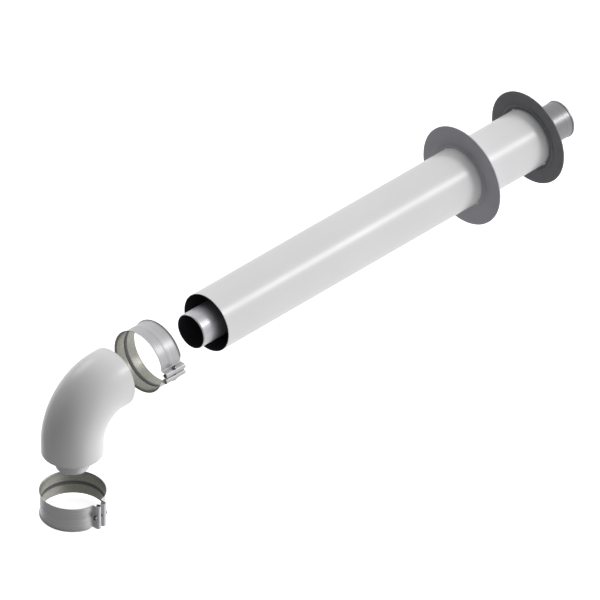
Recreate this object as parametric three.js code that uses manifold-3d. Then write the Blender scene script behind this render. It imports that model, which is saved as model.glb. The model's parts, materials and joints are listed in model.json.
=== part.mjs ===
// Concentric wall flue kit: a 90 degree elbow, two locking bands, a straight wall duct with its
// terminal and outlet, and two wall seals, laid out in line in the order they go together.
//
// Millimetres, +Z up. The origin is the centre of the elbow's outer lower rim, where the boiler
// connects. The elbow turns from +Z to +X, and the duct runs along +X to the outside of the wall.

import * as THREE from "three";
import { mergeVertices } from "three/addons/utils/BufferGeometryUtils.js";
import { ParametricGeometry } from "three/addons/geometries/ParametricGeometry.js";
import Module from "manifold-3d";

const wasm = await Module();
wasm.setup();

// ---------------------------------------------------------------- driving dimensions

const GAP = 0.4; // clearance between two separate pieces
const WELD = 1e-5; // distance within which shared vertices are merged
const SIDES = 36; // sides of the large round sections
const FINE_SIDES = 12; // sides of screws, pins and rivets

// The air duct (outer) and the flue pipe (inner), common to the elbow and the straight duct.
const AIR_R = 50;
const AIR_WALL = 1;
const FLUE_R = 30;
const FLUE_WALL = 1.6;

// Elbow.
const AXIS_Z = 98; // height of the duct's axis above the elbow's lower rim
const ELBOW_REACH = 90; // distance from the boiler axis to the elbow's upper rim
const SHELL_BEND_R = 77;
const SHELL_BEND_STEPS = 12;
const PIPE_BEND_R = 50;
const PIPE_BEND_STEPS = 8;
const SPIGOT_DROP = 28; // how far the flue spigot stands below the outer rim
const SPIGOT_SHOULDER = 13;
const SPIGOT_NECK_R = 28.9;
const SPIGOT_TIP_R = 27.4;
const SOCKET_R = 32.3;
const SOCKET_BORE_R = 30.7;
const SOCKET_STOP_X = 54.5;
const SOCKET_MOUTH_X = 89.5;
const BEAD_R = 36; // raised bead on the socket that holds the lip seal
const BEAD_FROM_X = 76;
const BEAD_TO_X = 84;
const GROOVE_R = 34.6;
const LIP_R = FLUE_R + GAP;

// Centring spacers, sprung between the flue pipe and the air duct.
const SPACER_T = 1.1;
const SPACER_WIDTH = 8;
const SPACER_WIDE = 12;
const SPACER_LEGS = 3;
const FOOT_HALF = 5;
const FOOT_R = AIR_R - AIR_WALL - 0.7;

// Locking bands.
const BAND_R = 51; // inside radius of the strip
const BAND_T = 0.8;
const BAND_W = 44;
const BAND_RIM_R = 54; // flared rims
const BAND_RIM_W = 3.6;
const LOWER_BAND_Z = -98;
const UPPER_BAND_X = 168.5;
const SEAL_W = 5;
const EAR_Y = -58.6; // axis of the rolled ears, measured from the band's axis
const EAR_R = 4.6;
const EAR_T = 0.7;
const EAR_OPEN = 80; // degrees, where each roll ends
const EAR_PITCH = 11;
const EAR_SHIFT = 4;
const TRUNNION_R = 3.5;
const TRUNNION_END = 1; // each trunnion stops this far inside the ear
const SCREW_R = 1.9;
const SCREW_HOLE_R = 2.3;
const SCREW_HEAD_R = 3.7;
const SCREW_HEAD_T = 2.6;
const SCREW_TAIL = 2.5; // thread left showing past the far ear
const WASHER_R = 4.2;
const WASHER_T = 0.8;

// Straight duct, terminal and outlet.
const DUCT_FROM_X = 298;
const DUCT_TO_X = 1034;
const FLUE_FROM_X = 263;
const FLUE_TO_X = 1042;
const DUCT_SPACER_X = [388, 655, 965];
const OUTLET_FROM_X = 1045;
const OUTLET_TO_X = 1096;
const OUTLET_R = 31.2;
const OUTLET_WALL = 0.9;
const OUTLET_LIP = 0.9;
const TERMINAL_PLATE_T = 1.4;
const TERMINAL_SKIRT = 12;
const TERMINAL_SKIRT_R = 48.6;
const TERMINAL_SLOTS = 12;
const SLOT_W = 6;
const SLOT_FROM_R = 35;
const SLOT_TO_R = 46;
const RIVET_X = 1030;
const RIVET_SHANK_R = 1.6;
const RIVET_HEAD_R = 3;
const RIVET_HEAD_T = 1.2;
const RIVET_HOLE_R = 2;
const RIVET_COUNT = 3;

// Wall seals. Each X is the disc's room-side face.
const INNER_SEAL_X = 870.5;
const INNER_SEAL_R = 86;
const OUTER_SEAL_X = 1020.5;
const OUTER_SEAL_R = 80.5;
const SEAL_DISC_T = 3;
const SEAL_BORE_R = AIR_R + GAP;

// ---------------------------------------------------------------- materials

const PAINT = { color: 0xe9e9ec, roughness: 0.22, metalness: 0 };
const FLUE_METAL = { color: 0xb9b9bd, roughness: 0.35, metalness: 0.9 };
const OUTLET_METAL = { color: 0xa3a3a3, roughness: 0.3, metalness: 1 };
const BAND_METAL = { color: 0xb4b4b4, roughness: 0.32, metalness: 0.9 };
const FIXING_METAL = { color: 0x8a8a8c, roughness: 0.35, metalness: 1 };
const SPRING_METAL = { color: 0x909094, roughness: 0.4, metalness: 1 };
const INNER_RUBBER = { color: 0x6f6f74, roughness: 0.75, metalness: 0 };
const OUTER_RUBBER = { color: 0x434345, roughness: 0.7, metalness: 0 };
const SEAL_RUBBER = { color: 0x2a2a2c, roughness: 0.6, metalness: 0 };

// ---------------------------------------------------------------- geometry helpers

const radians = THREE.MathUtils.degToRad;

// Removes triangles that collapse to a line, such as those at the pole of a turned solid.
function dropFlatTriangles(indices) {
  const kept = [];
  for (let i = 0; i < indices.length; i += 3) {
    const [a, b, c] = [indices[i], indices[i + 1], indices[i + 2]];
    if (a !== b && b !== c && c !== a) {
      kept.push(a, b, c);
    }
  }
  return new Uint32Array(kept);
}

function toSolid(geometry) {
  const bare = geometry.clone();
  bare.deleteAttribute("normal");
  bare.deleteAttribute("uv");
  const welded = mergeVertices(bare, WELD);
  const vertProperties = new Float32Array(welded.attributes.position.array);
  const triVerts = dropFlatTriangles(welded.index.array);
  return new wasm.Manifold(new wasm.Mesh({ numProp: 3, vertProperties, triVerts }));
}

function toGeometry(solid) {
  const data = solid.getMesh();
  const geometry = new THREE.BufferGeometry();
  geometry.setAttribute("position", new THREE.BufferAttribute(data.vertProperties, 3));
  geometry.setIndex(new THREE.BufferAttribute(data.triVerts, 1));
  geometry.computeVertexNormals();
  return geometry;
}

function piece(name, solid, finish) {
  const mesh = new THREE.Mesh(toGeometry(solid), new THREE.MeshStandardMaterial(finish));
  mesh.name = name;
  return mesh;
}

// Turns a profile of [radius, height] points about the Z axis.
function turned(profile, sides = SIDES) {
  const closed = [...profile, profile[0]];
  const points = closed.map(([radius, height]) => new THREE.Vector2(radius, height));
  return toSolid(new THREE.LatheGeometry(points, sides).rotateX(Math.PI / 2));
}

function ring(innerR, outerR, from, to, sides = SIDES) {
  return turned([[innerR, from], [outerR, from], [outerR, to], [innerR, to]], sides);
}

function cylinder(radius, from, to, sides = FINE_SIDES) {
  const geometry = new THREE.CylinderGeometry(radius, radius, to - from, sides);
  geometry.rotateX(Math.PI / 2);
  geometry.translate(0, 0, (from + to) / 2);
  return toSolid(geometry);
}

function block(low, high) {
  const size = high.map((value, i) => value - low[i]);
  const middle = high.map((value, i) => (value + low[i]) / 2);
  return toSolid(new THREE.BoxGeometry(...size).translate(...middle));
}

function extruded(points, from, to) {
  const shape = new THREE.Shape(points);
  const geometry = new THREE.ExtrudeGeometry(shape, { depth: to - from, bevelEnabled: false });
  return toSolid(geometry.translate(0, 0, from));
}

// Lays a solid made along Z so that it runs along X, at the height of the duct's axis.
function alongDuct(solid) {
  return solid.rotate([0, 90, 0]).translate([0, 0, AXIS_Z]);
}

// ---------------------------------------------------------------- bent pipes

// The centre line of a bend from +Z to +X: straight, a quarter circle, straight. The distance
// along it is counted from the outer lower rim, so it is negative on a spigot below the rim.
class BendAxis {
  constructor(bendRadius) {
    this.bendRadius = bendRadius;
    this.arcStart = AXIS_Z - bendRadius;
    this.arcEnd = this.arcStart + (bendRadius * Math.PI) / 2;
  }

  distanceAtX(x) {
    return this.arcEnd + x - this.bendRadius;
  }

  // The point at this distance, radius and angle around the centre line.
  pointOn(distance, radius, angle, target) {
    const inArc = THREE.MathUtils.clamp(distance, this.arcStart, this.arcEnd) - this.arcStart;
    const turn = inArc / this.bendRadius;
    const before = Math.min(distance, this.arcStart);
    const after = Math.max(distance - this.arcEnd, 0);
    const across = radius * Math.cos(angle);
    target.set(
      this.bendRadius * (1 - Math.cos(turn)) + after + across * Math.cos(turn),
      radius * Math.sin(angle),
      before + this.bendRadius * Math.sin(turn) - across * Math.sin(turn),
    );
  }
}

// Stations [distance, radius] round the bend, at even steps, in the direction asked for.
function bendStations(axis, radius, steps) {
  const stations = [];
  for (let i = 0; i <= steps; i += 1) {
    const distance = axis.arcStart + ((axis.arcEnd - axis.arcStart) * i) / steps;
    stations.push([distance, radius]);
  }
  return stations;
}

// A pipe whose wall section is a closed loop of stations: out along the outside, back inside.
function bentPipe(axis, stations) {
  const count = stations.length;
  const surface = (u, v, target) => {
    const [distance, radius] = stations[Math.round(u * count) % count];
    const angle = v === 1 ? 0 : -v * Math.PI * 2;
    axis.pointOn(distance, radius, angle, target);
  };
  return toSolid(new ParametricGeometry(surface, count, SIDES));
}

function elbowShell() {
  const axis = new BendAxis(SHELL_BEND_R);
  const end = axis.distanceAtX(ELBOW_REACH);
  const bore = AIR_R - AIR_WALL;
  return bentPipe(axis, [
    [0, AIR_R],
    ...bendStations(axis, AIR_R, SHELL_BEND_STEPS),
    [end, AIR_R],
    [end, bore],
    ...bendStations(axis, bore, SHELL_BEND_STEPS).reverse(),
    [0, bore],
  ]);
}

// The flue pipe: a stepped spigot below, the bend, and a socket with a seal bead above.
function elbowFluePipe() {
  const axis = new BendAxis(PIPE_BEND_R);
  const bore = FLUE_R - FLUE_WALL;
  const at = (x) => axis.distanceAtX(x);
  const beadSlope = 1.5;
  const wall = SOCKET_R - SOCKET_BORE_R;
  return bentPipe(axis, [
    [-SPIGOT_DROP, SPIGOT_TIP_R],
    [-SPIGOT_SHOULDER - 1, SPIGOT_NECK_R],
    [-SPIGOT_SHOULDER, FLUE_R],
    ...bendStations(axis, FLUE_R, PIPE_BEND_STEPS),
    [at(SOCKET_STOP_X - 0.5), SOCKET_R],
    [at(BEAD_FROM_X - beadSlope), SOCKET_R],
    [at(BEAD_FROM_X), BEAD_R],
    [at(BEAD_TO_X), BEAD_R],
    [at(BEAD_TO_X + beadSlope), SOCKET_R],
    [at(SOCKET_MOUTH_X), SOCKET_R + 0.5],
    [at(SOCKET_MOUTH_X), SOCKET_BORE_R + 0.5],
    [at(BEAD_TO_X), SOCKET_BORE_R],
    [at(BEAD_TO_X - wall), GROOVE_R],
    [at(BEAD_FROM_X + wall), GROOVE_R],
    [at(BEAD_FROM_X), SOCKET_BORE_R],
    [at(SOCKET_STOP_X + 0.5), SOCKET_BORE_R],
    [at(SOCKET_STOP_X), bore],
    ...bendStations(axis, bore, PIPE_BEND_STEPS).reverse(),
    [-SPIGOT_SHOULDER, bore],
    [-SPIGOT_DROP, SPIGOT_TIP_R - FLUE_WALL],
  ]);
}

// The lip seal in the socket's bead, with its lip pointing at the pipe that slides in.
function socketLipSeal() {
  const slope = SOCKET_R - SOCKET_BORE_R + 0.5;
  const outer = GROOVE_R - GAP;
  const middle = (BEAD_FROM_X + BEAD_TO_X) / 2;
  return alongDuct(turned([
    [LIP_R, middle - 0.6],
    [outer, BEAD_FROM_X + slope],
    [outer, BEAD_TO_X - slope],
    [LIP_R, middle + 0.6],
  ]));
}

// ---------------------------------------------------------------- spacers

// A ring that clips round a pipe, with sprung legs and curved feet that touch the air duct.
function spacer(pipeR, from, width) {
  const innerR = pipeR + GAP;
  const hubR = innerR + SPACER_T;
  const legHalf = SPACER_T / 2;
  const hubSteps = 8;
  const outline = [];
  const add = (radius, offset, legAngle) => {
    const along = Math.sqrt(radius * radius - offset * offset);
    outline.push(new THREE.Vector2(along, offset).rotateAround(new THREE.Vector2(), legAngle));
  };
  for (let leg = 0; leg < SPACER_LEGS; leg += 1) {
    const angle = radians(30 + (360 / SPACER_LEGS) * leg);
    add(hubR, -legHalf, angle);
    add(FOOT_R - SPACER_T, -legHalf, angle);
    add(FOOT_R - SPACER_T, -FOOT_HALF, angle);
    add(FOOT_R, -FOOT_HALF, angle);
    add(FOOT_R, 0, angle);
    add(FOOT_R, FOOT_HALF, angle);
    add(FOOT_R - SPACER_T, FOOT_HALF, angle);
    add(FOOT_R - SPACER_T, legHalf, angle);
    add(hubR, legHalf, angle);
    for (let i = 1; i < hubSteps; i += 1) {
      add(hubR, 0, angle + (radians(360 / SPACER_LEGS) * i) / hubSteps);
    }
  }
  const bore = cylinder(innerR, from - 1, from + width + 1, SIDES);
  return extruded(outline, from, from + width).subtract(bore);
}

// ---------------------------------------------------------------- locking bands

// The band's strip with flared rims, before it is split. Its axis is Z and its middle is at 0.
function flaredStrip() {
  const half = BAND_W / 2;
  const outerR = BAND_R + BAND_T;
  const flare = half - BAND_RIM_W;
  const inner = [[BAND_R, -flare], [BAND_R + 0.8, -half + 1.4], [BAND_RIM_R - 0.7, -half]];
  const outer = [[BAND_RIM_R, -half + 0.7], [outerR + 0.9, -half + 2.1], [outerR, -flare + 0.5]];
  const mirrored = (points) => points.map(([radius, height]) => [radius, -height]).reverse();
  return turned([...inner, ...outer, ...mirrored(outer), ...mirrored(inner)], 48);
}

// One rolled ear: a wall that leaves the strip outwards and a roll round the trunnion.
// side is -1 for the ear whose wall is at low X, and 1 for its mirror image.
function rolledEar(centreX, side) {
  const half = BAND_W / 2 - 1;
  const rollSteps = 14;
  const overlap = 12;
  const from = radians(180 - overlap);
  const to = radians(360 + EAR_OPEN);
  const points = [];
  for (let i = 0; i <= rollSteps; i += 1) {
    const angle = from + ((to - from) * i) / rollSteps;
    points.push([EAR_R * Math.cos(angle), EAR_R * Math.sin(angle)]);
  }
  for (let i = rollSteps; i >= 0; i -= 1) {
    const angle = from + ((to - from) * i) / rollSteps;
    points.push([(EAR_R - EAR_T) * Math.cos(angle), (EAR_R - EAR_T) * Math.sin(angle)]);
  }
  const placed = points.map(([x, y]) => new THREE.Vector2(centreX - side * x, EAR_Y + y));
  if (side > 0) {
    placed.reverse();
  }
  const wallOuterX = centreX + side * EAR_R;
  const wallInnerX = centreX + side * (EAR_R - EAR_T);
  const stripR = BAND_R + BAND_T / 2;
  const wallTop = -Math.sqrt(stripR * stripR - wallInnerX * wallInnerX);
  const lowX = Math.min(wallOuterX, wallInnerX);
  const highX = Math.max(wallOuterX, wallInnerX);
  const wall = block([lowX, EAR_Y, -half], [highX, wallTop, half]);
  return extruded(placed, -half, half).add(wall);
}

const EAR_X = [EAR_SHIFT - EAR_PITCH / 2, EAR_SHIFT + EAR_PITCH / 2];
const SPLIT_LOW_X = EAR_X[0] - EAR_R + EAR_T;
const SPLIT_HIGH_X = EAR_X[1] + EAR_R - EAR_T;

// The opening between the band's two ends, as a cutter.
function splitCutter(inset) {
  const deep = -BAND_R * 0.9;
  return block([SPLIT_LOW_X - inset, -BAND_RIM_R - 1, -BAND_W], [SPLIT_HIGH_X + inset, deep, BAND_W]);
}

function alongScrew(solid) {
  return solid.rotate([0, 90, 0]).translate([0, EAR_Y, 0]);
}

function bandStrip() {
  const screwHole = alongScrew(cylinder(SCREW_HOLE_R + 0.2, SPLIT_LOW_X - 6, SPLIT_HIGH_X + 6));
  const ends = rolledEar(EAR_X[0], -1).add(rolledEar(EAR_X[1], 1));
  return flaredStrip().subtract(splitCutter(0)).add(ends).subtract(screwHole);
}

function bandSeal() {
  const outerR = BAND_R - 0.25;
  const strip = ring(AIR_R + GAP, outerR, -SEAL_W / 2, SEAL_W / 2);
  return strip.subtract(splitCutter(1));
}

function trunnion(centreX, holeR) {
  const half = BAND_W / 2 - 1 - TRUNNION_END;
  const pin = cylinder(TRUNNION_R, -half, half, 16).translate([centreX, EAR_Y, 0]);
  const hole = alongScrew(cylinder(holeR, centreX - EAR_R, centreX + EAR_R));
  return pin.subtract(hole);
}

const WASHER_X = EAR_X[0] - EAR_R - GAP - WASHER_T;
const HEAD_X = WASHER_X - GAP - SCREW_HEAD_T;
const TAIL_X = EAR_X[1] + EAR_R + SCREW_TAIL;

function clampScrew() {
  const socketR = 1.7;
  const socketDepth = 1.6;
  const chamfer = 0.5;
  const profile = [
    [0, HEAD_X],
    [SCREW_HEAD_R - chamfer, HEAD_X],
    [SCREW_HEAD_R, HEAD_X + chamfer],
    [SCREW_HEAD_R, HEAD_X + SCREW_HEAD_T],
    [SCREW_R, HEAD_X + SCREW_HEAD_T],
    [SCREW_R, TAIL_X - chamfer],
    [SCREW_R - chamfer, TAIL_X],
    [0, TAIL_X],
  ];
  const socket = cylinder(socketR, HEAD_X - 1, HEAD_X + socketDepth, 6);
  return alongScrew(turned(profile, FINE_SIDES).subtract(socket));
}

function screwWasher() {
  return alongScrew(ring(SCREW_HOLE_R, WASHER_R, WASHER_X, WASHER_X + WASHER_T, 16));
}

// The six pieces of one band, on the Z axis with the ears at -Y.
function bandGroup(prefix) {
  const group = new THREE.Group();
  group.add(piece(`${prefix}_band_strip`, bandStrip(), BAND_METAL));
  group.add(piece(`${prefix}_band_seal`, bandSeal(), SEAL_RUBBER));
  group.add(piece(`${prefix}_plain_trunnion`, trunnion(EAR_X[0], SCREW_HOLE_R), FIXING_METAL));
  group.add(piece(`${prefix}_threaded_trunnion`, trunnion(EAR_X[1], SCREW_HOLE_R), FIXING_METAL));
  group.add(piece(`${prefix}_clamp_screw`, clampScrew(), FIXING_METAL));
  group.add(piece(`${prefix}_screw_washer`, screwWasher(), FIXING_METAL));
  return group;
}

// ---------------------------------------------------------------- straight duct and terminal

// Three radial holes for the terminal's rivets, on the Z axis.
function rivetHoles() {
  const across = cylinder(RIVET_HOLE_R, AIR_R - 6, AIR_R + 4);
  let holes = null;
  for (let i = 0; i < RIVET_COUNT; i += 1) {
    const hole = across.rotate([0, 90, 0]).rotate([0, 0, rivetAngle(i)]).translate([0, 0, RIVET_X]);
    holes = holes ? holes.add(hole) : hole;
  }
  return holes;
}

function rivetAngle(index) {
  return 60 + (360 / RIVET_COUNT) * index;
}

function airDuct() {
  const tube = ring(AIR_R - AIR_WALL, AIR_R, DUCT_FROM_X, DUCT_TO_X);
  return alongDuct(tube.subtract(rivetHoles()));
}

function fluePipe() {
  const chamfer = 1;
  return alongDuct(turned([
    [FLUE_R - FLUE_WALL, FLUE_FROM_X],
    [FLUE_R - chamfer, FLUE_FROM_X],
    [FLUE_R, FLUE_FROM_X + 2],
    [FLUE_R, FLUE_TO_X],
    [FLUE_R - FLUE_WALL, FLUE_TO_X],
  ]));
}

// The slotted ring that closes the air duct round the outlet and draws the air in.
function terminalRing() {
  const plateFrom = DUCT_TO_X + GAP;
  const plateTo = plateFrom + TERMINAL_PLATE_T;
  const skirtFrom = DUCT_TO_X - TERMINAL_SKIRT;
  const skirtBore = TERMINAL_SKIRT_R - 0.9;
  let body = turned([
    [OUTLET_R + GAP, plateFrom],
    [skirtBore, plateFrom],
    [skirtBore, skirtFrom],
    [TERMINAL_SKIRT_R, skirtFrom],
    [TERMINAL_SKIRT_R, plateFrom],
    [AIR_R, plateFrom],
    [AIR_R, plateTo],
    [OUTLET_R + GAP, plateTo],
  ]);
  const half = SLOT_W / 2;
  const slot = block([SLOT_FROM_R, -half, plateFrom - 1], [SLOT_TO_R, half, plateTo + 1]);
  for (let i = 0; i < TERMINAL_SLOTS; i += 1) {
    body = body.subtract(slot.rotate([0, 0, (360 / TERMINAL_SLOTS) * i]));
  }
  return alongDuct(body.subtract(rivetHoles()));
}

// One rivet, from its bulb inside the skirt to its domed head outside the duct.
function terminalRivet(index) {
  const headFrom = AIR_R + 0.3;
  const bulbTo = TERMINAL_SKIRT_R - 0.9 - GAP;
  const bulbR = 2.5;
  const bulbT = 1.5;
  const rivet = turned([
    [0, bulbTo - bulbT],
    [bulbR - 0.5, bulbTo - bulbT],
    [bulbR, bulbTo],
    [RIVET_SHANK_R, bulbTo],
    [RIVET_SHANK_R, headFrom],
    [RIVET_HEAD_R, headFrom],
    [RIVET_HEAD_R * 0.7, headFrom + RIVET_HEAD_T * 0.8],
    [0, headFrom + RIVET_HEAD_T],
  ], FINE_SIDES);
  const placed = rivet.rotate([0, 90, 0]).rotate([0, 0, rivetAngle(index)]);
  return alongDuct(placed.translate([0, 0, RIVET_X]));
}

// The outlet pushes onto the end of the flue pipe, and its outer rim is rolled.
function outletPipe() {
  const bore = OUTLET_R - OUTLET_WALL;
  const rimBack = OUTLET_TO_X - 4;
  const stopBore = FLUE_R - FLUE_WALL + 0.2;
  const overlapFrom = DUCT_TO_X - 6;
  const stop = OUTLET_FROM_X;
  return alongDuct(turned([
    [bore, overlapFrom],
    [OUTLET_R, overlapFrom],
    [OUTLET_R, rimBack],
    [OUTLET_R + OUTLET_LIP, rimBack + 1],
    [OUTLET_R + OUTLET_LIP, OUTLET_TO_X - 0.6],
    [OUTLET_R + OUTLET_LIP - 0.6, OUTLET_TO_X],
    [bore, OUTLET_TO_X],
    [bore, stop + 1.4],
    [stopBore, stop + 1],
    [stopBore, stop],
    [bore, stop - 0.4],
  ]));
}

// ---------------------------------------------------------------- wall seals

// Both seals are discs with a rounded rim. The inner one has a low lip that grips the duct on
// the room side; the outer one has a raised ring that beds into the wall, and a lip outdoors.
function innerWallSeal() {
  const face = INNER_SEAL_X;
  const back = face + SEAL_DISC_T;
  return alongDuct(turned([
    [SEAL_BORE_R, back],
    [SEAL_BORE_R, face - 3],
    [SEAL_BORE_R + 0.9, face - 3],
    [SEAL_BORE_R + 2.6, face - 0.6],
    [SEAL_BORE_R + 4.6, face],
    [INNER_SEAL_R - 1.2, face],
    [INNER_SEAL_R, face + 1],
    [INNER_SEAL_R, back - 0.6],
    [INNER_SEAL_R - 0.6, back],
  ], 48));
}

function outerWallSeal() {
  const face = OUTER_SEAL_X;
  const back = face + SEAL_DISC_T;
  const ringR = 56.5;
  return alongDuct(turned([
    [SEAL_BORE_R, back + 2.5],
    [SEAL_BORE_R, face],
    [ringR - 2, face],
    [ringR - 1.2, face - 2],
    [ringR + 1.2, face - 2],
    [ringR + 2, face],
    [OUTER_SEAL_R - 1.2, face],
    [OUTER_SEAL_R, face + 1],
    [OUTER_SEAL_R, back - 0.6],
    [OUTER_SEAL_R - 0.6, back],
    [SEAL_BORE_R + 3, back],
    [SEAL_BORE_R + 1.4, back + 2.5],
  ], 48));
}

// ---------------------------------------------------------------- assembly

function elbowGroup() {
  const group = new THREE.Group();
  const lowerSpacer = spacer(FLUE_R, 6, SPACER_WIDTH);
  const upperSpacer = spacer(BEAD_R, BEAD_FROM_X + 1.5, SPACER_WIDTH - 2);
  group.add(piece("elbow_shell", elbowShell(), PAINT));
  group.add(piece("elbow_flue_pipe", elbowFluePipe(), FLUE_METAL));
  group.add(piece("elbow_lip_seal", socketLipSeal(), SEAL_RUBBER));
  group.add(piece("elbow_lower_spacer", lowerSpacer, SPRING_METAL));
  group.add(piece("elbow_upper_spacer", alongDuct(upperSpacer), SPRING_METAL));
  return group;
}

function ductGroup() {
  const group = new THREE.Group();
  group.add(piece("air_duct_tube", airDuct(), PAINT));
  group.add(piece("flue_pipe", fluePipe(), FLUE_METAL));
  DUCT_SPACER_X.forEach((x, index) => {
    const solid = alongDuct(spacer(FLUE_R, x, SPACER_WIDE));
    group.add(piece(`duct_spacer_${index + 1}`, solid, SPRING_METAL));
  });
  group.add(piece("terminal_ring", terminalRing(), PAINT));
  for (let i = 0; i < RIVET_COUNT; i += 1) {
    group.add(piece(`terminal_rivet_${i + 1}`, terminalRivet(i), FIXING_METAL));
  }
  group.add(piece("outlet_pipe", outletPipe(), OUTLET_METAL));
  return group;
}

const kit = new THREE.Group();
kit.add(elbowGroup());

const lowerBand = bandGroup("lower");
lowerBand.position.set(0, 0, LOWER_BAND_Z);
kit.add(lowerBand);

const upperBand = bandGroup("upper");
upperBand.rotation.y = Math.PI / 2;
upperBand.position.set(UPPER_BAND_X, 0, AXIS_Z);
kit.add(upperBand);

kit.add(ductGroup());
kit.add(piece("inner_wall_seal", innerWallSeal(), INNER_RUBBER));
kit.add(piece("outer_wall_seal", outerWallSeal(), OUTER_RUBBER));

export default kit;
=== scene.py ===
# Looks for the concentric wall flue kit: smooth pieces and procedural materials round the packed
# CAD frame. Shapes are worked out in millimetres and written to the meshes in metres.

import json
import math

import bmesh
import bpy
from mathutils import Matrix, Vector


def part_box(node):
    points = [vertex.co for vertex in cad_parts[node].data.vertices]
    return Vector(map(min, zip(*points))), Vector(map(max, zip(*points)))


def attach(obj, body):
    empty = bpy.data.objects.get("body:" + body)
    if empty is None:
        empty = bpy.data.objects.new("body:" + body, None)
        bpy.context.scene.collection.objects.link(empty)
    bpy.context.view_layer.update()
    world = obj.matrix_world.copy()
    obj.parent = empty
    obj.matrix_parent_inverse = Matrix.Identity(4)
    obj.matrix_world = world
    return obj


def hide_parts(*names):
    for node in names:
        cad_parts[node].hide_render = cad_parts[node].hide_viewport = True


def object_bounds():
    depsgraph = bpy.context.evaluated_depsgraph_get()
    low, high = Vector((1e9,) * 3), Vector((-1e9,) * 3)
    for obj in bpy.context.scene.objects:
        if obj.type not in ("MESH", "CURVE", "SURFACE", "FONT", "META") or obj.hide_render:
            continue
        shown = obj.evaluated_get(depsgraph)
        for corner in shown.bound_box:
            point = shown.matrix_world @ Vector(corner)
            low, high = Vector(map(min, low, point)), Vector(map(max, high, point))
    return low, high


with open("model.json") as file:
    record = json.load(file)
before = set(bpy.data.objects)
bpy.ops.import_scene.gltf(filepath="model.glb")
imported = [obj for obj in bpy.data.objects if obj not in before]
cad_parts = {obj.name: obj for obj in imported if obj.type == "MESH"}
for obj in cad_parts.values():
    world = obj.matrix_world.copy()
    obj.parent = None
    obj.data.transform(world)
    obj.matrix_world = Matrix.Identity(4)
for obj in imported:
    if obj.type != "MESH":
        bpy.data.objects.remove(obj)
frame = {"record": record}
cad_low, cad_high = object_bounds()

MM = 0.001
INWARD = 0.75  # how squarely a face looks at the axis to count as part of a bore
SKIN = 0.04  # how far a round surface stays inside its CAD solid's largest radius

# ---------------------------------------------------------------- places, read from the frame


def span(node, axis):
    """Lowest and highest millimetre of a CAD node along an axis, 0 for X, 1 for Y and 2 for Z."""
    low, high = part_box(node)
    return low[axis] / MM, high[axis] / MM


def middle(node, axis):
    low, high = span(node, axis)
    return (low + high) / 2


AXIS_Z = round(middle("air_duct_tube", 2), 3)
LOWER_BAND_Z = round(middle("lower_band_seal", 2), 3)
UPPER_BAND_X = round(middle("upper_band_seal", 0), 3)
ELBOW_REACH = span("elbow_shell", 0)[1]

QUARTER = Matrix.Rotation(math.radians(90), 4, "Y")
IN_PLACE = Matrix.Identity(4)
ALONG_DUCT = Matrix.Translation((0, 0, AXIS_Z)) @ QUARTER
BAND_PLACES = {
    "lower": Matrix.Translation((0, 0, LOWER_BAND_Z)),
    "upper": Matrix.Translation((UPPER_BAND_X, 0, AXIS_Z)) @ QUARTER,
}

body_of_node = {
    node: body
    for body, nodes in frame["record"]["behaviour"]["bodies"].items()
    for node in nodes
}

# ---------------------------------------------------------------- dimensions, in millimetres

AIR_R = 50.0
AIR_BORE = 49.0
FLUE_R = 30.0
FLUE_BORE = 28.4

SHELL_BEND_R = 77.0
PIPE_BEND_R = 50.0
SPIGOT_DROP = 28.0
SPIGOT_SHOULDER = 13.0
SPIGOT_NECK_R = 28.9
SPIGOT_TIP_R = 27.4
SOCKET_R = 32.3
SOCKET_BORE_R = 30.7
SOCKET_STOP_X = 54.5
SOCKET_MOUTH_X = 89.5
BEAD_R = 36.0
BEAD_FROM_X = 76.0
BEAD_TO_X = 84.0
GROOVE_R = 34.6
LIP_R = 30.4

CLEARANCE = 0.4  # between two pieces that do not move against each other
SPACER_T = 1.1
SPACER_ROOT_R = 1.0
FOOT_HALF = 5.0
FOOT_R = 48.3

BAND_R = 51.0
BAND_T = 0.8
BAND_HALF = 22.0
BAND_FLARE = 2.15  # how far the rims stand out
BAND_SEAL_R = (50.42, 50.74)
BAND_SEAL_HALF = 2.5
BAND_GAP_X = (-6.4, 14.4)  # where the band is open, between its ears
BAND_GAP_Y = (-56, -46)
EAR_HALF = 21.0
EAR_Y = -58.6
EAR_R = 4.6
EAR_T = 0.7
EAR_X = (-1.5, 9.5)
EAR_OPEN = 80.0
TRUNNION_R = 3.5
TRUNNION_HALF = 20.0
SCREW_R = 1.9
SCREW_HOLE_R = 2.3
SCREW_PITCH = 0.7
HEAD_R = 3.7
HEAD_X = -10.3
HEAD_T = 2.6
TAIL_X = 16.6
WASHER_R = 4.2
WASHER_X = -7.3
WASHER_T = 0.8

OUTLET_R = 31.2
OUTLET_BORE = 30.3
OUTLET_LIP_R = 32.1
OUTLET_BEAD_X = 1054
PLATE_T = 1.4
PLATE_BORE_R = 31.6
SKIRT_R = 48.6
SKIRT_T = 0.9
SLOT_COUNT = 12
SLOT_HALF = 3.0
SLOT_FROM_R = 35.0
SLOT_TO_R = 46.0
RIVET_X = 1030.0
RIVET_ANGLES = (60, 180, 300)
RIVET_HOLE_R = 2.0
RIVET_SHANK_R = 1.6
RIVET_HEAD_R = 3.0

SEAL_BORE_R = 50.4
SEAL_T = 3.0
OUTER_RING_R = 56.5  # the raised ring on the outer seal

# ---------------------------------------------------------------- sections and swept meshes


def signed_area(points):
    total = 0.0
    for i, p in enumerate(points):
        q = points[(i + 1) % len(points)]
        total += p[0] * q[1] - q[0] * p[1]
    return total / 2


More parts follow.
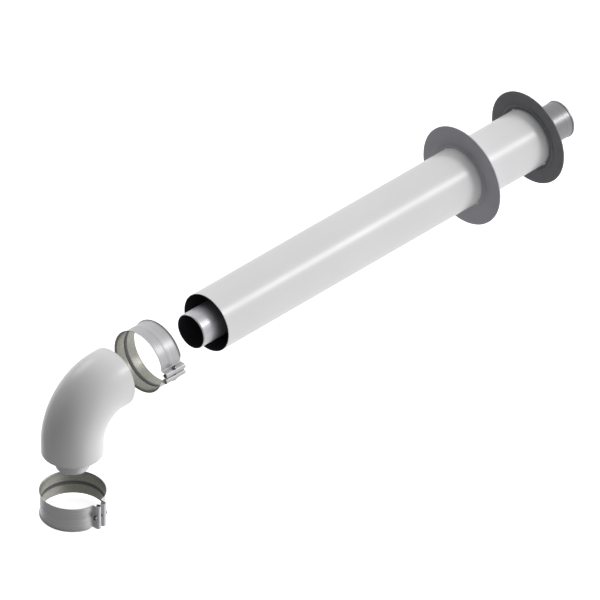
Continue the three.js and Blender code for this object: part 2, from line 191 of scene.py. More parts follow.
def rounded(points, steps=4):
    """A closed section of (across, along, fillet) points, its corners rounded.

    Gives (across, along, wear), where wear is 1 on the corners that stick out."""
    way = 1 if signed_area(points) > 0 else -1
    out = []
    for i, (x, y, fillet) in enumerate(points):
        corner = Vector((x, y))
        back = Vector(points[i - 1][:2]) - corner
        on = Vector(points[(i + 1) % len(points)][:2]) - corner
        cross = (-back.x * on.y + back.y * on.x) * way
        half = back.angle(on) / 2
        if fillet <= 0 or half > math.radians(88):
            out.append((x, y, 0.0))
            continue
        reach = min(fillet / math.tan(half), back.length * 0.45, on.length * 0.45)
        radius = reach * math.tan(half)
        inward = (back.normalized() + on.normalized()).normalized()
        centre = corner + inward * (radius / math.sin(half))
        first = corner + back.normalized() * reach - centre
        last = corner + on.normalized() * reach - centre
        start = math.atan2(first.y, first.x)
        turn = math.atan2(last.y, last.x) - start
        turn = (turn + math.pi) % (2 * math.pi) - math.pi
        wear = 1.0 if cross > 0 else 0.0
        for k in range(steps + 1):
            angle = start + turn * k / steps
            out.append(
                (
                    centre.x + radius * math.cos(angle),
                    centre.y + radius * math.sin(angle),
                    wear,
                )
            )
    return out


def spaced(loop, longest, support=1.2):
    """The same loop with extra points: close to each end of a long edge, and along it."""
    out = []
    for i, point in enumerate(loop):
        after = loop[(i + 1) % len(loop)]
        out.append(point)
        a, b = Vector(point[:2]), Vector(after[:2])
        length = (b - a).length
        if length < support * 3:
            continue
        count = max(1, math.ceil((length - 2 * support) / longest))
        for k in range(count + 1):
            share = (support + (length - 2 * support) * k / count) / length
            p = a.lerp(b, share)
            out.append((p.x, p.y, 0.0))
    return out


def grid_mesh(loop, rings, point_at, bored=False):
    """A mesh of the section swept through its rings. On a bored piece, the faces that look
    towards the axis take the second material, the near-black painted shade of the bore."""
    way = 1 if signed_area(loop) > 0 else -1
    bm = bmesh.new()
    wear_layer = bm.verts.layers.float.new("wear")
    rows = []
    for x, y, wear in loop:
        row = []
        for j in range(rings):
            v = bm.verts.new(point_at(x, y, j) * MM)
            v[wear_layer] = wear
            row.append(v)
        rows.append(row)
    for i, row in enumerate(rows):
        onward = (i + 1) % len(rows)
        after = rows[onward]
        step = Vector(loop[onward][:2]) - Vector(loop[i][:2])
        inward = bored and step.length > 0 and way * step.y / step.length < -INWARD
        for j in range(rings):
            k = (j + 1) % rings
            face = bm.faces.new((row[j], row[k], after[k], after[j]))
            face.material_index = 1 if inward else 0
    return bm


def turned(points, place, segments, longest=30.0, bored=False, steps=4, support=1.2):
    """A section of (radius, height, fillet) turned about the local Z axis, then put in place."""
    loop = spaced(rounded(points, steps), longest, support)

    def point_at(radius, height, j):
        angle = 2 * math.pi * j / segments
        local = Vector((radius * math.cos(angle), radius * math.sin(angle), height))
        return place @ local

    return grid_mesh(loop, segments, point_at, bored)


class BendAxis:
    """The centre line of a bend from +Z to +X: straight, a quarter circle, straight."""

    def __init__(self, radius):
        self.radius = radius
        self.arc_start = AXIS_Z - radius
        self.arc_end = self.arc_start + radius * math.pi / 2

    def at_x(self, x):
        return self.arc_end + x - self.radius

    def point(self, distance, radius, angle):
        in_arc = min(max(distance, self.arc_start), self.arc_end) - self.arc_start
        turn = in_arc / self.radius
        before = min(distance, self.arc_start)
        after = max(distance - self.arc_end, 0)
        across = radius * math.cos(angle)
        return Vector(
            (
                self.radius * (1 - math.cos(turn)) + after + across * math.cos(turn),
                radius * math.sin(angle),
                before + self.radius * math.sin(turn) - across * math.sin(turn),
            )
        )


def bent(points, axis, segments, longest):
    """A section of (radius, distance, fillet) swept round a bend."""
    loop = spaced(rounded(points), longest)

    def point_at(radius, distance, j):
        return axis.point(distance, radius, 2 * math.pi * j / segments)

    return grid_mesh(loop, segments, point_at, bored=True)


def extruded(outline, low, high, place, hole_r=None):
    """A flat outline with an optional round hole, given thickness between two heights."""
    bm = bmesh.new()
    bm.verts.layers.float.new("wear")
    loops = [outline]
    if hole_r:
        count = 72
        loops.append(
            [
                Vector((math.cos(a), math.sin(a))) * hole_r
                for a in (2 * math.pi * k / count for k in range(count))
            ]
        )
    edges = []
    for loop in loops:
        verts = [bm.verts.new((p[0], p[1], low)) for p in loop]
        for i, v in enumerate(verts):
            edges.append(bm.edges.new((v, verts[(i + 1) % len(verts)])))
    filled = bmesh.ops.triangle_fill(bm, use_beauty=True, edges=edges)
    faces = [f for f in filled["geom"] if isinstance(f, bmesh.types.BMFace)]
    raised = bmesh.ops.extrude_face_region(bm, geom=faces)
    tops = [v for v in raised["geom"] if isinstance(v, bmesh.types.BMVert)]
    bmesh.ops.translate(bm, verts=tops, vec=(0, 0, high - low))
    bmesh.ops.transform(bm, matrix=Matrix.Scale(MM, 4) @ place, verts=bm.verts)
    return bm


def merged(*meshes):
    """Several bmeshes as one."""
    first = meshes[0]
    for other in meshes[1:]:
        held = bpy.data.meshes.new("held")
        other.to_mesh(held)
        first.from_mesh(held)
        other.free()
        bpy.data.meshes.remove(held)
    return first


def clean(bm):
    bmesh.ops.remove_doubles(bm, verts=bm.verts, dist=1e-7)
    bmesh.ops.dissolve_degenerate(bm, dist=1e-8, edges=bm.edges)
    bmesh.ops.recalc_face_normals(bm, faces=bm.faces)
    return bm


def linked(name, bm):
    mesh = bpy.data.meshes.new(name)
    clean(bm).to_mesh(mesh)
    bm.free()
    mesh.shade_smooth()
    obj = bpy.data.objects.new(name, mesh)
    bpy.context.scene.collection.objects.link(obj)
    return obj


def cut(obj, cutter_bm):
    """Cuts a closed cutter out of a piece, and keeps only the result."""
    cutter = linked("cutter", cutter_bm)
    modifier = obj.modifiers.new("cut", "BOOLEAN")
    modifier.operation = "DIFFERENCE"
    modifier.solver = "EXACT"
    modifier.object = cutter
    bpy.context.view_layer.update()
    depsgraph = bpy.context.evaluated_depsgraph_get()
    result = bpy.data.meshes.new_from_object(obj.evaluated_get(depsgraph))
    obj.modifiers.remove(modifier)
    before = obj.data
    obj.data = result
    result.name = before.name
    bpy.data.meshes.remove(before)
    mesh = cutter.data
    bpy.data.objects.remove(cutter)
    bpy.data.meshes.remove(mesh)


def piece(node, bm, materials, cutter=None, bevel=0.0):
    """Makes the piece that stands for a CAD node, parents it to its body and hides the CAD node.
    """
    obj = linked(f"look_{node}", bm)
    if cutter is not None:
        cut(obj, cutter)
    for material in materials:
        obj.data.materials.append(material)
    if bevel:
        rounding = obj.modifiers.new("edges", "BEVEL")
        rounding.width = bevel * MM
        rounding.segments = 2
        rounding.limit_method = "ANGLE"
        rounding.angle_limit = math.radians(50)
    shading = obj.modifiers.new("normals", "WEIGHTED_NORMAL")
    shading.weight = 50
    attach(obj, body_of_node[node])
    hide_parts(node)
    return obj


# ---------------------------------------------------------------- materials


def tone(code):
    """A display colour such as 'a0b1c2' as linear red, green, blue and alpha."""
    parts = [int(code[i : i + 2], 16) / 255 for i in (0, 2, 4)]
    linear = [c / 12.92 if c <= 0.04045 else ((c + 0.055) / 1.055) ** 2.4 for c in parts]
    return (*linear, 1.0)


class Surface:
    """A node material: two tones in soft patches, a grain, and corners that have rubbed."""

    def __init__(self, name, metallic=0.0, specular=0.5):
        self.material = bpy.data.materials.new(name)
        self.material.use_nodes = True
        self.nodes = self.material.node_tree.nodes
        self.links = self.material.node_tree.links
        self.shader = self.nodes["Principled BSDF"]
        self.shader.inputs["Metallic"].default_value = metallic
        self.shader.inputs["Specular IOR Level"].default_value = specular
        self.place = self.nodes.new("ShaderNodeTexCoord").outputs["Object"]

    def noise(self, scale, detail=3.0, stretch=(1, 1, 1)):
        mapping = self.nodes.new("ShaderNodeMapping")
        mapping.inputs["Scale"].default_value = stretch
        texture = self.nodes.new("ShaderNodeTexNoise")
        texture.inputs["Scale"].default_value = scale
        texture.inputs["Detail"].default_value = detail
        self.links.new(self.place, mapping.inputs["Vector"])
        self.links.new(mapping.outputs["Vector"], texture.inputs["Vector"])
        return texture.outputs["Fac"]

    def cells(self, scale):
        texture = self.nodes.new("ShaderNodeTexVoronoi")
        texture.inputs["Scale"].default_value = scale
        self.links.new(self.place, texture.inputs["Vector"])
        return texture.outputs["Distance"]

    def ranged(self, value, low, high, to_low, to_high):
        node = self.nodes.new("ShaderNodeMapRange")
        node.inputs["From Min"].default_value = low
        node.inputs["From Max"].default_value = high
        node.inputs["To Min"].default_value = to_low
        node.inputs["To Max"].default_value = to_high
        self.links.new(value, node.inputs["Value"])
        return node.outputs["Result"]

    def product(self, a, b):
        node = self.nodes.new("ShaderNodeMath")
        node.operation = "MULTIPLY"
        self.links.new(a, node.inputs[0])
        self.links.new(b, node.inputs[1])
        return node.outputs["Value"]

    def sum(self, a, b):
        node = self.nodes.new("ShaderNodeMath")
        node.operation = "ADD"
        node.use_clamp = True
        self.links.new(a, node.inputs[0])
        self.links.new(b, node.inputs[1])
        return node.outputs["Value"]

    def blend(self, factor, first, second):
        """Mixes two colours, each either a fixed colour or a socket."""
        node = self.nodes.new("ShaderNodeMix")
        node.data_type = "RGBA"
        self.links.new(factor, node.inputs[0])
        for socket, colour in ((node.inputs[6], first), (node.inputs[7], second)):
            if isinstance(colour, tuple):
                socket.default_value = colour
            else:
                self.links.new(colour, socket)
        return node.outputs[2]

    def wear(self, amount, scale=420.0):
        """How far a corner has rubbed, broken up by a fine noise."""
        attribute = self.nodes.new("ShaderNodeAttribute")
        attribute.attribute_name = "wear"
        patchy = self.ranged(self.noise(scale), 0.42, 0.62, 0.0, amount)
        return self.product(attribute.outputs["Fac"], patchy)

    def bump(self, layers):
        """Stacks (height, depth in mm, strength) layers of bump."""
        normal = None
        for height, depth, strength in layers:
            node = self.nodes.new("ShaderNodeBump")
            node.inputs["Strength"].default_value = strength
            node.inputs["Distance"].default_value = depth * MM
            self.links.new(height, node.inputs["Height"])
            if normal is not None:
                self.links.new(normal, node.inputs["Normal"])
            normal = node.outputs["Normal"]
        self.links.new(normal, self.shader.inputs["Normal"])

    def finish(self, colour, roughness):
        self.links.new(colour, self.shader.inputs["Base Color"])
        self.links.new(roughness, self.shader.inputs["Roughness"])
        return self.material


def enamel():
    """White baked enamel: faint orange peel, soft handling marks and rubbed corners."""
    s = Surface("white_enamel", specular=0.6)
    patches = s.ranged(s.noise(9.0, 1.0), 0.2, 0.8, 0.0, 1.0)
    marks = s.ranged(s.noise(55.0, 5.0, (0.35, 1, 1)), 0.5, 0.72, 0.0, 1.0)
    peel = s.noise(520.0, 2.0)
    worn = s.wear(0.7)
    colour = s.blend(patches, tone("eeeeef"), tone("eaeaec"))
    colour = s.blend(worn, colour, tone("a9abb0"))
    roughness = s.sum(s.ranged(patches, 0, 1, 0.3, 0.33), s.ranged(marks, 0, 1, 0.0, 0.02))
    roughness = s.sum(roughness, s.ranged(worn, 0, 1, 0.0, 0.2))
    s.bump([(peel, 0.02, 0.35), (s.noise(60.0, 2.0), 0.08, 0.25)])
    return s.finish(colour, roughness)


def painted_shade_bore():
    """Painted shade for the inside of a duct or pipe: near black and matt, in soft darker and
    lighter patches.
    """
    s = Surface("painted_shade_bore", specular=0.35)
    shade_mottle = s.ranged(s.noise(70.0, 6.0), 0.3, 0.7, 0.0, 1.0)
    colour = s.blend(shade_mottle, tone("4e4e53"), tone("404044"))
    roughness = s.ranged(shade_mottle, 0, 1, 0.42, 0.62)
    s.bump([(s.noise(700.0, 3.0), 0.03, 0.4)])
    return s.finish(colour, roughness)


def metal(name, light, dark, worn_tone, rough, grain, metallic, depth=0.012, blotch=14.0):
    """Satin metal with a directional grain. grain stretches the noise, so that it runs along
    the axes with small numbers."""
    s = Surface(name, metallic=metallic, specular=0.5)
    lines = s.noise(1.0, 4.0, grain)
    fine = s.noise(2.3, 3.0, grain)
    patches = s.ranged(s.noise(blotch, 4.0), 0.32, 0.68, 0.0, 1.0)
    worn = s.wear(0.8, 500.0)
    streaks = s.ranged(lines, 0.35, 0.65, 0.0, 1.0)
    colour = s.blend(streaks, tone(light), tone(dark))
    colour = s.blend(worn, colour, tone(worn_tone))
    low, high = rough
    roughness = s.sum(
        s.ranged(streaks, 0, 1, low, (low + high) / 2),
        s.ranged(patches, 0, 1, 0.0, (high - low) / 2),
    )
    s.bump([(lines, depth, 0.5), (fine, depth / 2, 0.4)])
    return s.finish(colour, roughness)


def zinc(name, light, dark, rough=(0.3, 0.5)):
    """Bright zinc plating, with its fine crystal spangle and duller hollows."""
    s = Surface(name, metallic=1.0)
    spangle = s.ranged(s.cells(900.0), 0.0, 0.7, 0.0, 1.0)
    clouds = s.ranged(s.noise(260.0, 4.0), 0.35, 0.65, 0.0, 1.0)
    worn = s.wear(0.8, 700.0)
    colour = s.blend(clouds, tone(light), tone(dark))
    colour = s.blend(worn, colour, tone("c9c9cb"))
    low, high = rough
    roughness = s.sum(
        s.ranged(spangle, 0, 1, low, low + 0.06),
        s.ranged(clouds, 0, 1, 0, high - low),
    )
    s.bump([(s.noise(1800.0, 2.0), 0.01, 0.4)])
    return s.finish(colour, roughness)


def rubber(name, light, dark, bloom, rough=(0.6, 0.78), specular=0.4):
    """Moulded rubber: a fine stipple, cloudy tone, and a pale bloom on rubbed edges."""
    s = Surface(name, specular=specular)
    clouds = s.ranged(s.noise(22.0, 5.0), 0.3, 0.7, 0.0, 1.0)
    specks = s.ranged(s.noise(420.0, 3.0), 0.62, 0.78, 0.0, 0.5)
    worn = s.wear(0.6, 300.0)
    colour = s.blend(clouds, tone(light), tone(dark))
    colour = s.blend(specks, colour, tone(bloom))
    colour = s.blend(worn, colour, tone(bloom))
    low, high = rough
    roughness = s.ranged(clouds, 0, 1, low, high)
    s.bump([(s.noise(900.0, 3.0), 0.03, 0.45), (s.noise(35.0, 3.0), 0.15, 0.25)])
    return s.finish(colour, roughness)


ROUND_X = (900, 14, 14)  # grain that runs round an X axis
ROUND_Z = (14, 14, 900)
LONG_X = (7, 520, 520)  # grain that runs along X
EVEN = (420, 420, 420)

white = enamel()
# Near-black painted shade for the inner faces of the ducts and pipes.
bore_shade = painted_shade_bore()
# The duct's flue pipe takes a darker tone than the elbow's flue pipe of the same aluminium:
# painted shade, so it reads darker under the same light.
flue = metal("flue_aluminium_painted_shade", "cdcdd1", "bfbfc5", "e6e6e8", (0.34, 0.46), LONG_X, 0.6)
elbow_flue = metal("elbow_aluminium", "dcdce0", "cfcfd4", "f2f2f2", (0.32, 0.44), EVEN, 0.3, 0.01)
outlet_steel = metal("outlet_stainless", "8f8f91", "87878a", "a8a8aa", (0.34, 0.44), ROUND_X, 0.8)
# The upper band's copy of the same steel takes a darker tone and less metal than the lower
# band's: painted shade, so it reads darker under the same light.
band_steel = {
    "lower": metal("band_steel_z", "dcdcde", "cfcfd2", "efefef", (0.3, 0.45), ROUND_Z, 0.45),
    "upper": metal("band_steel_x_painted_shade", "c8c8ca", "bcbcbf", "e6e6e8", (0.36, 0.48), ROUND_X, 0.35),
}
band_inside = metal("band_inside", "aeaea6", "9e9e97", "ccccc5", (0.34, 0.5), EVEN, 0.6)
spring = metal("spring_steel", "8c8c90", "727277", "b0b0b2", (0.35, 0.5), EVEN, 0.9, 0.02)
plated = zinc("zinc_plating", "8d8d90", "6c6c70")
pin_steel = zinc("pin_steel", "707074", "55555a", (0.34, 0.5))
inner_rubber = rubber("inner_seal_rubber", "ccccd2", "c4c4cb", "dadade")
outer_rubber = rubber("outer_seal_rubber", "8b8b8e", "838387", "9c9ca0", specular=0.3)
seal_rubber = rubber("lip_seal_rubber", "7a7a7e", "6c6c70", "8e8e92")

# ---------------------------------------------------------------- elbow


def elbow_shell():
    axis = BendAxis(SHELL_BEND_R)
    end = axis.at_x(ELBOW_REACH)
    outer = AIR_R - SKIN
    section = [(outer, 0, 0.4), (outer, end, 0.4), (AIR_BORE, end, 0.4), (AIR_BORE, 0, 0.4)]
    bm = bent(section, axis, 144, 2.5)
    piece("elbow_shell", bm, [white, bore_shade])


def elbow_flue_pipe():
    axis = BendAxis(PIPE_BEND_R)
    at = axis.at_x
    wall = SOCKET_R - SOCKET_BORE_R
    section = [
        (SPIGOT_TIP_R, -SPIGOT_DROP, 0.6),
        (SPIGOT_NECK_R, -SPIGOT_SHOULDER - 1, 1.0),
        (FLUE_R, -SPIGOT_SHOULDER, 1.0),
        (FLUE_R, at(SOCKET_STOP_X - 3.5), 3.0),
        (SOCKET_R, at(SOCKET_STOP_X - 0.5), 3.0),
        (SOCKET_R, at(BEAD_FROM_X - 1.5), 1.6),
        (BEAD_R, at(BEAD_FROM_X), 1.6),
        (BEAD_R, at(BEAD_TO_X), 1.6),
        (SOCKET_R, at(BEAD_TO_X + 1.5), 1.6),
        (SOCKET_R + 0.5, at(SOCKET_MOUTH_X), 0.6),
        (SOCKET_BORE_R + 0.5, at(SOCKET_MOUTH_X), 0.6),
        (SOCKET_BORE_R, at(BEAD_TO_X), 0.6),
        (GROOVE_R, at(BEAD_TO_X - wall), 0.8),
        (GROOVE_R, at(BEAD_FROM_X + wall), 0.8),
        (SOCKET_BORE_R, at(BEAD_FROM_X), 0.6),
        (SOCKET_BORE_R, at(SOCKET_STOP_X + 0.5), 0.4),
        (FLUE_BORE, at(SOCKET_STOP_X), 0.4),
        (FLUE_BORE, -SPIGOT_SHOULDER, 1.0),
        (SPIGOT_TIP_R - (FLUE_R - FLUE_BORE), -SPIGOT_DROP, 0.6),
    ]
    bm = bent(section, axis, 96, 2.5)
    piece("elbow_flue_pipe", bm, [elbow_flue, bore_shade])


def elbow_lip_seal():
    slope = SOCKET_R - SOCKET_BORE_R + 0.5
    outer = GROOVE_R - CLEARANCE
    centre = (BEAD_FROM_X + BEAD_TO_X) / 2
    section = [
        (LIP_R, centre - 0.6, 0.3),
        (outer, BEAD_FROM_X + slope, 0.6),
        (outer, BEAD_TO_X - slope, 0.6),
        (LIP_R, centre + 0.6, 0.3),
    ]
    piece("elbow_lip_seal", turned(section, ALONG_DUCT, 96), [seal_rubber])


def spacer(node, pipe_r, low, high, place):
    """A spring clip round the pipe, with three legs whose curved feet press on the air duct."""
    hub_inner = pipe_r + CLEARANCE
    hub_r = hub_inner + SPACER_T
    half = SPACER_T / 2
    under = FOOT_R - SPACER_T
    end_round = SPACER_T * 0.45
    leg = (
        (hub_r, -half, SPACER_ROOT_R),
        (under, -half, SPACER_ROOT_R),
        (under, -FOOT_HALF, end_round),
        (FOOT_R, -FOOT_HALF, end_round),
        (FOOT_R, -FOOT_HALF / 2, 0),
        (FOOT_R, 0, 0),
        (FOOT_R, FOOT_HALF / 2, 0),
        (FOOT_R, FOOT_HALF, end_round),
        (under, FOOT_HALF, end_round),
        (under, half, SPACER_ROOT_R),
        (hub_r, half, SPACER_ROOT_R),
    )
    corners = []
    for number in range(3):
        turn = Matrix.Rotation(math.radians(30 + 120 * number), 2)
        for radius, offset, fillet in leg:
            along = math.sqrt(radius * radius - offset * offset)
            p = turn @ Vector((along, offset))
            corners.append((p.x, p.y, fillet))
        for k in range(1, 20):
            round_hub = math.radians(6 * k)
            p = turn @ (Vector((math.cos(round_hub), math.sin(round_hub))) * hub_r)
            corners.append((p.x, p.y, 0))
    outline = [(x, y) for x, y, _ in rounded(corners)]
    bm = extruded(outline, low, high, place, hub_inner)
    piece(node, bm, [spring], bevel=0.22)


# ---------------------------------------------------------------- locking bands


def arc(centre, radius, start, end, steps):
    """Points and directions away from the centre, in degrees from start to end."""
    out = []
    for k in range(steps + 1):
        angle = math.radians(start + (end - start) * k / steps)
        away = Vector((math.cos(angle), math.sin(angle)))
        out.append((Vector(centre) + away * radius, away))
    return out


def band_path():
    """The band's inner face seen along its axis: (point, outward direction, how far it is part
    of the circle). It rolls round one pin, goes round the pipe, and rolls round the other."""
    inner_roll = EAR_R - EAR_T
    ease = 2.0
    wall_x = (EAR_X[0] - inner_roll, EAR_X[1] + inner_roll)
    reach = BAND_R + ease
    low = Vector((wall_x[0] - ease, -math.sqrt(reach**2 - (wall_x[0] - ease) ** 2)))
    high = Vector((wall_x[1] + ease, -math.sqrt(reach**2 - (wall_x[1] + ease) ** 2)))
    low_angle = math.degrees(math.atan2(low.y, low.x)) % 360
    high_angle = math.degrees(math.atan2(high.y, high.x))
    left, right = Vector((-1, 0)), Vector((1, 0))

    path = [(p, n, 0.0) for p, n in arc((EAR_X[0], EAR_Y), inner_roll, EAR_OPEN, -180, 40)]
    for k in (1, 2, 3):
        y = EAR_Y + (low.y - EAR_Y) * k / 4
        path.append((Vector((wall_x[0], y)), left, 0.0))
    path += [(p, -n, 0.0) for p, n in arc(low, ease, 0, low_angle - 180, 7)]
    fade = 13.0
    for p, n in arc((0, 0), BAND_R, low_angle, high_angle, 200)[1:-1]:
        angle = math.degrees(math.atan2(p.y, p.x))
        angle = angle if angle > high_angle else angle + 360
        room = min(low_angle - angle, angle - high_angle)
        share = min(max(room / fade, 0.0), 1.0)
        path.append((p, n, share * share * (3 - 2 * share)))
    path += [(p, -n, 0.0) for p, n in arc(high, ease, high_angle + 180, 180, 7)]
    for k in (1, 2, 3):
        y = high.y + (EAR_Y - high.y) * k / 4
        path.append((Vector((wall_x[1], y)), right, 0.0))
    roll_end = -180 - EAR_OPEN
    path += [(p, n, 0.0) for p, n in arc((EAR_X[1], EAR_Y), inner_roll, 0, roll_end, 40)]
    return path


# Half of the way across the band, from one rim to the raised line in the middle: height as a
# share of the half width, how far the sheet stands out, and how much it has rubbed.
BAND_ACROSS = [
    (-1.0, BAND_FLARE, 1.0),
    (-0.985, 1.75, 1.0),
    (-0.955, 1.2, 0.3),
    (-0.925, 0.65, 0.0),
    (-0.89, 0.22, 0.0),
    (-0.85, 0.0, 0.0),
    (-0.6, 0.0, 0.0),
    (-0.3, 0.0, 0.0),
    (-0.17, 0.0, 0.0),
    (-0.14, 0.22, 0.0),
    (-0.11, 0.34, 0.0),
]


def band_mesh(place):
    """The strip as one closed sheet, thick and round at its rims."""
    across = BAND_ACROSS + [(0.0, 0.36, 0.0)] + [(-h, o, w) for h, o, w in reversed(BAND_ACROSS)]
    path = band_path()
    bm = bmesh.new()
    wear_layer = bm.verts.layers.float.new("wear")

    def row(point, outward, share):
        thick = EAR_T + (BAND_T - EAR_T) * share
        half = EAR_HALF + (BAND_HALF - SKIN - EAR_HALF) * share
        verts = []

        def add(height, out, wear):
            spot = point + outward * out
            v = bm.verts.new((place @ Vector((spot.x, spot.y, height * half))) * MM)
            v[wear_layer] = wear
            verts.append(v)

        for height, out, wear in across:
            add(height, out * share, 0.0)
        add(1.0 - 0.003, BAND_FLARE * share + thick * 0.3, 1.0)
        add(1.0 - 0.003, BAND_FLARE * share + thick * 0.7, 1.0)
        for height, out, wear in reversed(across):
            add(height * 0.992, out * share + thick, wear)
        add(-1.0 + 0.003, BAND_FLARE * share + thick * 0.7, 1.0)
        add(-1.0 + 0.003, BAND_FLARE * share + thick * 0.3, 1.0)
        return verts

    rows = [row(*station) for station in path]
    count = len(rows[0])
    inner_count = len(across)
    for a, b in zip(rows, rows[1:]):
        for j in range(count):
            k = (j + 1) % count
            face = bm.faces.new((a[j], a[k], b[k], b[j]))
            face.material_index = 1 if j < inner_count - 1 else 0
    bm.faces.new(rows[0])
    bm.faces.new(list(reversed(rows[-1])))
    return bm


def along_screw(place):
    """Puts a piece made about Z onto the clamp screw's line, which runs along local X."""
    return place @ Matrix.Translation((0, EAR_Y, 0)) @ QUARTER


def rod(radius, low, high, place, segments=32):
    section = [(0.0, low, 0), (radius, low, 0), (radius, high, 0), (0.0, high, 0)]
    return turned(section, place, segments, longest=500, support=400)


def trunnion(node, x, place):
    section = [
        (0.0, -TRUNNION_HALF, 0),
        (TRUNNION_R, -TRUNNION_HALF, 0.5),
        (TRUNNION_R, TRUNNION_HALF, 0.5),
        (0.0, TRUNNION_HALF, 0),
    ]
    at = place @ Matrix.Translation((x, EAR_Y, 0))
    pin = turned(section, at, 48, longest=8)
    hole = rod(SCREW_HOLE_R, x - EAR_R, x + EAR_R, along_screw(place))
    piece(node, pin, [pin_steel], cutter=hole, bevel=0.15)


def threaded_rod(low, high, place):
    """A rod with a helical thread, closed at both ends."""
    segments = 20
    per_turn = 6
    root = SCREW_R - 0.36
    rings = int((high - low) / SCREW_PITCH * per_turn)
    bm = bmesh.new()
    bm.verts.layers.float.new("wear")
    rows = []
    for i in range(rings + 1):
        z = low + (high - low) * i / rings
        row = []
        for j in range(segments):
            turn = j / segments
            wave = abs(((z / SCREW_PITCH - turn) % 1.0) * 2 - 1)
            taper = min(1.0, (high - z) / 0.9, (z - low + 0.2) / 0.6)
            radius = root + (SCREW_R - root) * min(wave * 1.25, 1.0) * max(taper, 0.0)
            angle = 2 * math.pi * turn
            local = Vector((radius * math.cos(angle), radius * math.sin(angle), z))
            row.append(bm.verts.new((place @ local) * MM))
        rows.append(row)
    for a, b in zip(rows, rows[1:]):
        for j in range(segments):
            k = (j + 1) % segments
            bm.faces.new((a[j], a[k], b[k], b[j]))
    bm.faces.new(rows[0])
    bm.faces.new(list(reversed(rows[-1])))
    return bm


def hexagon_rod(radius, low, high, place):
    points = [
        (radius * math.cos(math.radians(60 * k)), radius * math.sin(math.radians(60 * k)))
        for k in range(6)
    ]
    return extruded(points, low, high, place)


def clamp_screw(node, place):
    at = along_screw(place)
    under = HEAD_X + HEAD_T
    head = [
        (0.0, HEAD_X, 0),
        (HEAD_R - 0.9, HEAD_X, 0.8),
        (HEAD_R, HEAD_X + 0.9, 0.6),
        (HEAD_R, under, 0.25),
        (SCREW_R - 0.1, under, 0.2),
        (SCREW_R - 0.1, under + 1.0, 0.1),
        (0.0, under + 1.0, 0),
    ]
    socket = hexagon_rod(1.7, HEAD_X - 1, HEAD_X + 1.6, at)
    obj = linked("screw_head", turned(head, at, 40, longest=6, support=0.5))
    cut(obj, socket)
    bm = bmesh.new()
    bm.from_mesh(obj.data)
    bpy.data.objects.remove(obj)
    piece(node, merged(bm, threaded_rod(under + 1.0, TAIL_X, at)), [plated])


def screw_washer(node, place):
    section = [
        (SCREW_HOLE_R, WASHER_X, 0.12),
        (WASHER_R, WASHER_X, 0.25),
        (WASHER_R, WASHER_X + WASHER_T, 0.12),
        (SCREW_HOLE_R, WASHER_X + WASHER_T, 0.12),
    ]
    bm = turned(section, along_screw(place), 48, support=0.25)
    piece(node, bm, [plated])


def band_seal(node, place):
    """The rubber strip stuck round the inside of the band, open where the band is."""
    half = BAND_SEAL_HALF
    low, high = BAND_SEAL_R
    section = [(low, -half, 0.1), (high, -half, 0.1), (high, half, 0.1), (low, half, 0.1)]
    ring = turned(section, place, 180, support=0.5)
    left, right = BAND_GAP_X
    near, far = BAND_GAP_Y
    corners = [(left, near), (right, near), (right, far), (left, far)]
    opening = extruded(corners, -2 * half, 2 * half, place)
    piece(node, ring, [seal_rubber], cutter=opening)


def band(prefix):
    place = BAND_PLACES[prefix]
    hole = rod(SCREW_HOLE_R + 0.2, -9, 17, along_screw(place), 40)
    strip = f"{prefix}_band_strip"
    metals = [band_steel[prefix], band_inside]
    piece(strip, band_mesh(place), metals, cutter=hole)
    band_seal(f"{prefix}_band_seal", place)
    trunnion(f"{prefix}_plain_trunnion", EAR_X[0], place)
    trunnion(f"{prefix}_threaded_trunnion", EAR_X[1], place)
    clamp_screw(f"{prefix}_clamp_screw", place)
    screw_washer(f"{prefix}_screw_washer", place)


# ---------------------------------------------------------------- straight duct and terminal


def rivet_places():
    """For each rivet: a frame whose local Z points out of the duct through the rivet."""
    out = []
    for degrees in RIVET_ANGLES:
        turn = Matrix.Rotation(math.radians(degrees), 4, "Z")
        shift = Matrix.Translation((0, 0, RIVET_X))
        out.append(ALONG_DUCT @ shift @ turn @ QUARTER)
    return out


def rivet_holes():
    rods = [rod(RIVET_HOLE_R, AIR_R - 6, AIR_R + 4, at, 24) for at in rivet_places()]
    return merged(*rods)


def air_duct():
    low, high = span("air_duct_tube", 0)
    outer = AIR_R - SKIN
    section = [(AIR_BORE, low, 0.4), (outer, low, 0.4), (outer, high, 0.4), (AIR_BORE, high, 0.4)]
    bm = turned(section, ALONG_DUCT, 160, longest=40, bored=True)
    piece("air_duct_tube", bm, [white, bore_shade], cutter=rivet_holes())


def flue_pipe():
    low, high = span("flue_pipe", 0)
    outer = FLUE_R - SKIN
    section = [
        (FLUE_BORE, low, 0.3),
        (FLUE_R - 1, low, 0.4),
        (outer, low + 2, 1.2),
        (outer, high, 0.4),
        (FLUE_BORE, high, 0.4),
    ]
    bm = turned(section, ALONG_DUCT, 112, longest=40, bored=True)
    piece("flue_pipe", bm, [flue, bore_shade])


def slot_cutters(low, high):
    """Slots with round ends, in a ring."""
    half_round = [math.radians(a) for a in range(-90, 91, 20)]
    near, far = SLOT_FROM_R + SLOT_HALF, SLOT_TO_R - SLOT_HALF
    outline = []
    for centre, way in ((far, 1), (near, -1)):
        for a in half_round:
            outline.append(
                (
                    centre + way * SLOT_HALF * math.cos(a),
                    way * SLOT_HALF * math.sin(a),
                )
            )
    bars = []
    for k in range(SLOT_COUNT):
        turn = Matrix.Rotation(2 * math.pi * k / SLOT_COUNT, 4, "Z")
        bars.append(extruded(outline, low, high, ALONG_DUCT @ turn))
    return bars


